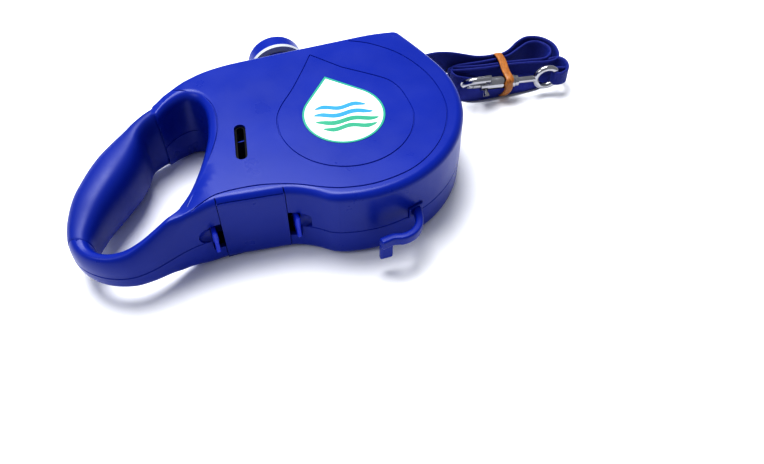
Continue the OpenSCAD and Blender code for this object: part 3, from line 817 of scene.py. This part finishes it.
def capsule(length, width):
    """Outline with two round ends, at the slot's place and turn."""
    half = (length - width) / 2
    loop = arc((half, 0), width / 2, -90, 90, 12) + arc((-half, 0), width / 2, 90, 270, 12)
    c, s = cos(radians(SLOT_TURN)), sin(radians(SLOT_TURN))
    return [(SLOT_AT[0] + x * c - y * s, SLOT_AT[1] + x * s + y * c) for x, y in loop]


GROOVE_W, GROOVE_DEEP = 0.8, 0.5


def groove(path, closed=False):
    """Cutter for a fine line in the upper face."""
    p = np.array(resample(path, 1.5, closed))
    n = len(p)
    rings = []
    for i in range(n):
        a = p[(i - 1) % n] if closed else p[max(i - 1, 0)]
        b = p[(i + 1) % n] if closed else p[min(i + 1, n - 1)]
        d = unit(b - a)
        side = np.array((-d[1], d[0]))
        h = body_height(*p[i])
        section = ((-0.25, h - GROOVE_DEEP), (0.25, h - GROOVE_DEEP),
                   (0.85, h + 0.6), (-0.85, h + 0.6))
        rings.append([(*(p[i] + side * offset * GROOVE_W), z) for offset, z in section])
    return loft("groove", rings, None, closed, smooth=False)


wall_line = np.array([q for q in lower if q[0] > -89])


def wall_y(x):
    """Outer face of the lower edge at x."""
    return float(np.interp(x, wall_line[:, 0], wall_line[:, 1]))


WALL, CAVITY_END = 2.7, -82
outer_wall = case_arc + front + nose_arc + thumb + [q for q in upper if q[0] > CAVITY_END]
cavity_loop = inset_path(outer_wall, WALL) + inset_path(spline(HOLE_FRONT[1:-1], 4), WALL) \
    + inset_path([q for q in wall_line if q[0] > CAVITY_END], WALL)
# Fine lines in the upper face: round the panel, the finger hole and the label.
PANEL = [(-97, -51.5), (-91, -47.6), (-85.3, -45), (-76.3, -42.4), (-63.3, -42.4),
         (-52.4, -44), (-37.8, -48.8), (-25.5, -55.2), (-14.3, -59.2), (2.3, -60.9),
         (22.4, -56.9), (39.8, -45.2), (51.6, -28.6), (56.2, -10.9), (54.8, 10.1),
         (46.4, 31), (33.5, 45.5), (22, 52.5)]
RIM_LINE = [(-84, 43), (-76.5, 38.5), (-70.4, 33.3), (-66.3, 25.1), (-65.4, 13.1),
            (-67.7, -0.2), (-74.3, -15.3), (-82.1, -28), (-88.5, -38), (-92, -43.2)]
DROP_LINE = [(-3.4, 47), (-10.5, 36), (-20.8, 21.3), (-30.4, 9.5), (-35.2, 0), (-36.6, -10.4)] \
    + arc((0.2, -10.2), 36.8, 190, 350, 20) \
    + [(36.6, -6.5), (35.8, 2.5), (32.5, 11), (25, 18.6), (10.5, 30.6)]
SCOOP = [(0, 0), (0, 5.4), (2.2, 5.0), (3.4, 3.6), (4, 1.8), (4.1, 0)]
SCOOP_OUT = 1.6                               # how far a scoop starts outside the wall


def cutters(up):
    """Everything cut out of one half of the case."""
    yield prism("cavity", cavity_loop, PART_Z - 1 if up else 3.4, 43.4 if up else PART_Z + 1)
    back = DOOR_BACK + GAP
    yield block("door", (DOOR[0] - GAP, OUTSIDE, -1), (DOOR[1] + GAP, back, DOOR_HIGH + 0.4))
    yield block("tabs", (DOOR[0] - 6.2, OUTSIDE, TABS_LOW - 1),
                (DOOR[1] + 6.2, back, TABS_HIGH + 1))
    yield turned("neck", [(0, 0), (0, 14.2), (20, 14.2), (20, 0)], (CAP_X, 45, PART_Z), TO_THUMB)
    yield block("button", (-69.3, 46, 16.7), (-44.7, 66, 31.3))
    yield block("mouth", (51.2, 35.8, 13.5), (69.2, 47.8, 35.5), turn=14)
    yield block("hook_foot", (15.4, -66.3, 18.9), (24.6, -61.5, 27.1), turn=17)
    scoop = [(s - SCOOP_OUT, r) for s, r in SCOOP]
    for x, to_left in ((DOOR[0] - 6.0, -1), (DOOR[1] + 6.0, 1)):
        centre = (x + 1.2 * to_left, wall_y(x + 2.5 * to_left), 24.5)
        yield turned("scoop", scoop, centre, TO_THUMB, sides=40)
    if not up:
        return
    yield prism("slot", capsule(26.0, 6.0), 42, 48)
    yield prism("label_recess", drop_loop(22.6, 33.2), CASE_TOP - 0.3, CASE_TOP + 1)
    yield groove(spline(PANEL, 8))
    yield groove(spline(RIM_LINE, 8))
    yield groove(spline(DROP_LINE, 4), closed=True)
    for x in DOOR:
        yield block("seam", (x - 0.25, OUTSIDE, 44), (x + 0.25, wall_y(x) + 3.0, 48))


for case_half, is_upper in ((upper_case, True), (lower_case, False)):
    combine(case_half, cutters(is_upper))
    shade(case_half, 28)


# ---------- grip ----------
def squarish(turns, power):
    """A point on a unit circle pushed out towards the square: x and y."""
    c, s = cos(2 * pi * turns), sin(2 * pi * turns)
    return math.copysign(abs(c) ** power, c), math.copysign(abs(s) ** power, s)


def bar_ring(row, less):
    """Rounded section round the handle at one station, drawn in by less."""
    mid, half = (row[:2] + row[2:4]) / 2, (row[2:4] - row[:2]) / 2
    half = half * (1 - less / np.linalg.norm(half))
    centre_z, half_z = (row[4] + row[5]) / 2, (row[5] - row[4]) / 2 - less
    around = 44
    ring = []
    for k in range(around):
        c, s = squarish(k / around, ROUND_POWER)
        ring.append((*(mid + half * c), centre_z + half_z * s))
    return ring


def make_grip():
    """Sleeve on the handle: rounded ends, full thickness between, open inside."""
    first, end = 1, GRIP_TO * PER_STATION - 1
    under, lip, near, full = 1.9, 0.5, 0.12, 0.02
    rings = [bar_ring(stations[first], less) for less in (under, lip)]
    rings += [bar_ring(stations[i], near if i == first + 1 else full)
              for i in range(first + 1, end)]
    rings += [bar_ring(stations[end], less) for less in (lip, under)]
    rings += [bar_ring(stations[i], under) for i in range(end - 1, first, -1)]
    return loft("grip_sleeve", rings, MATERIALS["grip_rubber"], closed=True)


finish_piece(shade(make_grip(), 50), "case", "grip_rubber", "handle_grip")


# ---------- bag drawer and its tabs ----------
def make_drawer():
    """Door that carries on the case's wall and its lower rounding, with the bin behind."""
    front_side = [(0.3, DOOR_HIGH), (0.1, DOOR_HIGH - 0.6), (0.0, DOOR_HIGH - 1.6)]
    front_side += [(0.0, z) for z in np.linspace(40, LOW_FILLET + 1, 8)]
    for k in range(11):
        b = radians(9 * k)
        front_side.append((LOW_FILLET * (1 - cos(b)),
                           LOW_FILLET - (LOW_FILLET - DOOR_LOW) * sin(b)))
    rings = []
    for x in np.linspace(*DOOR, 26):
        face = wall_y(x)
        deepest = DOOR_BACK - face - 0.4
        ring = [(x, face + min(u, deepest), z) for u, z in front_side]
        rings.append(ring + [(x, DOOR_BACK, DOOR_LOW), (x, DOOR_BACK, DOOR_HIGH)])
    door = loft("drawer", rings, MATERIALS["shell_plastic"])
    arms = [block("arm", (x, -38, TABS_LOW + 1), (x + 9, -36, TABS_HIGH - 1))
            for x in (DOOR[0] - 2.7, DOOR[1] - 6.3)]
    combine(door, [block("bin", (-72.5, -46, 4), (-47, -4, 42), round_by=1.0), *arms], "UNION")
    combine(door, [block("bin_inside", (-71, -44.5, 5.5), (-48.5, -5.5, 45), round_by=0.8)])
    return shade(door, 28)


TAB_T, TAB_BACK = 2.4, -36


def make_tab(name, x, front_y):
    """Squeeze tab: a rounded rib with a raised thumb pad and a round hinge end."""
    tab = block(name, (x, front_y, TABS_LOW), (x + TAB_T, TAB_BACK, TABS_HIGH),
                MATERIALS["tab_plastic"], round_by=0.9)
    r, long = TAB_T / 2, TABS_HIGH - TABS_LOW
    hinge = turned("hinge", [(0, 0), (0, r), (long, r), (long, 0)],
                   (x + r, TAB_BACK, TABS_LOW), UP, sides=32)
    pad = block("pad", (x - 0.3, front_y + 0.7, TABS_HIGH - 8),
                (x + TAB_T + 0.3, front_y + 2.6, TABS_HIGH - 2), round_by=0.6)
    combine(tab, [hinge, pad], "UNION")
    return shade(tab, 40)


finish_piece(make_drawer(), "drawer", "shell_plastic", "bag_drawer")
finish_piece(make_tab("rear_squeeze_tab", DOOR[0] - 5.6, -51.5),
             "rear_tab", "tab_plastic", "latch_rear")
finish_piece(make_tab("front_squeeze_tab", DOOR[1] + 3.2, -55.5),
             "front_tab", "tab_plastic", "latch_front")

# ---------- bowl hook ----------
HOOK = [(21, -63.5), (20.9, -67), (19.8, -72), (17.6, -76.6), (13.5, -80), (8, -81.2),
        (2.5, -80), (-4.5, -81)]
HOOK_Z = PART_Z + 3.0
HOOK_HALF_T, HOOK_HALF_W = 2.1, 3.0


def make_hook():
    """Flat bar with rounded edges in a J, thicker at its free end, with a leg below it."""
    around, per_point = 24, 8
    path = np.array(spline(HOOK, per_point))
    n = len(path)
    rings = []
    for i, q in enumerate(path):
        d = unit(path[min(i + 1, n - 1)] - path[max(i - 1, 0)])
        side = np.array((-d[1], d[0]))
        swell = 1 + 0.06 * smooth_step(1.2, 0.2, (n - 1 - i) / per_point)
        end = 0.72 if i == n - 1 else 1
        ring = []
        for k in range(around):
            c, s = squarish(k / around, 0.45)
            ring.append((*(q + side * (c * HOOK_HALF_T * swell * end)),
                         HOOK_Z + s * HOOK_HALF_W * end))
        rings.append(ring)
    hook = loft("bowl_hook_bar", rings, MATERIALS["shell_plastic"])
    foot = block("foot", (15.6, -66.1, 19.1), (24.4, -61.7, 26.9), turn=17, round_by=0.6)
    leg = block("leg", (-4.9, -81.9, 11), (1.9, -79.1, 22), round_by=0.9)
    combine(hook, [foot, leg], "UNION")
    return shade(hook, 40)


finish_piece(make_hook(), "case", "shell_plastic", "bowl_hook")


# ---------- label ----------
LABEL_TURN = radians(-8)                      # the reading direction in plan
LABEL_BOTTOM = CASE_TOP - 0.27


def wave_band(name, start, length, material, phase, thick):
    """A thin wavy stripe on the label, tapered at both ends."""
    along = np.array((cos(LABEL_TURN), sin(LABEL_TURN)))
    up = np.array((-along[1], along[0]))
    line = []
    n = 48
    for k in range(n + 1):
        t = k / n
        taper = min(1.0, 6 * t, 6 * (1 - t)) ** 0.5 if 0 < t < 1 else 0.12
        middle = np.array(start) + along * length * t + up * sin(2 * pi * (1.6 * t) + phase)
        line.append((middle, thick * taper / 2))
    loop = [q - up * w for q, w in line] + [q + up * w for q, w in reversed(line)]
    m = len(line)
    verts = [(x, y, z) for z in (CASE_TOP + 0.05, CASE_TOP + 0.2) for x, y in loop]
    top = [(2 * m + k, 2 * m + k + 1, 4 * m - 2 - k, 4 * m - 1 - k) for k in range(m - 1)]
    bottom = [(2 * m - 1 - k, 2 * m - 2 - k, k + 1, k) for k in range(m - 1)]
    sides = [(k, (k + 1) % (2 * m), 2 * m + (k + 1) % (2 * m), 2 * m + k)
             for k in range(2 * m)]
    return make_mesh(name, verts, top + bottom + sides, material, smooth=False)


label_rim = combine(
    prism("label_rim", drop_loop(22.45, 32.95), LABEL_BOTTOM, CASE_TOP + 0.14, RIM_TEAL),
    [prism("hole", drop_loop(21.3, 31.0), CASE_TOP - 1, CASE_TOP + 1)])
label_face = prism("label_face", drop_loop(21.28, 30.97), LABEL_BOTTOM, CASE_TOP + 0.1,
                   MATERIALS["label_print"])
finish_piece(label_face, "case", "label_print", "label")
finish_piece(label_rim, "case", "label_print")
for k, (start, length, material, phase, thick) in enumerate((
        ((-14, 0.5), 28, WAVE_CYAN, 0.0, 3.0), ((-16, -5.0), 32, WAVE_CYAN, 0.9, 3.2),
        ((-16.5, -10.5), 34, WAVE_GREEN, 1.8, 3.2), ((-14, -16.0), 29, WAVE_GREEN, 2.7, 3.0))):
    wave = wave_band(f"label_wave_{k + 1}", start, length, material, phase, thick)
    finish_piece(wave, "case", "label_print")

# ---------- bag slot ----------
slot_lining = combine(
    prism("slot_lining", capsule(25.9, 5.9), 43.7, 45.6, MATERIALS["black_rubber"]),
    [prism("slit", capsule(23.6, 3.6), 43, 47)])
finish_piece(slot_lining, "case", "black_rubber", "slot_insert")

# ---------- tank cap ----------
cap_edge = [(8 + 4 * sin(radians(a)), 13 + 4 * cos(radians(a))) for a in range(0, 91, 10)]
cap_skin = turned(
    "round_cap",
    [(0, 11.1), (0, 16.6), (0.4, 17), *cap_edge, (12, 0), (10.5, 0), (10.5, 11.1)],
    (CAP_X, 74.9, PART_Z), TO_THUMB, MATERIALS["shell_plastic"], sides=128)
finish_piece(shade(cap_skin, 40), "cap", "shell_plastic", "tank_cap")


# ---------- floor and light ----------
def lamp(name, at, size, power):
    """A soft round lamp that faces the origin."""
    data = bpy.data.lights.new(name, "AREA")
    data.shape = "DISK"
    data.size = size
    data.energy = power
    obj = add_object(name, data)
    obj.location = at
    obj.rotation_euler = (-Vector(at)).to_track_quat("-Z", "Y").to_euler()


def make_stage():
    """Pale floor and soft light from large lamps overhead."""
    b = bmesh.new()
    bmesh.ops.create_grid(b, x_segments=8, y_segments=8, size=6)
    mesh = bpy.data.meshes.new("floor")
    b.to_mesh(mesh)
    b.free()
    paper = plastic("floor_paper", srgb(246, 247, 250), 0.6, 0.4, 0.01)
    add_object("floor", mesh, paper)
    lamp("sky", (-0.1, 0.45, 1.2), 0.9, 19)
    lamp("left", (-1.0, -0.1, 0.9), 0.6, 2.5)
    world = bpy.data.worlds.new("studio")
    world.use_nodes = True
    background = world.node_tree.nodes["Background"]
    background.inputs["Color"].default_value = (0.95, 0.97, 1.0, 1)
    background.inputs["Strength"].default_value = 0.36
    bpy.context.scene.world = world


make_stage()
bpy.context.scene.view_settings.view_transform = "Standard"
bpy.context.scene.view_settings.look = "High Contrast"
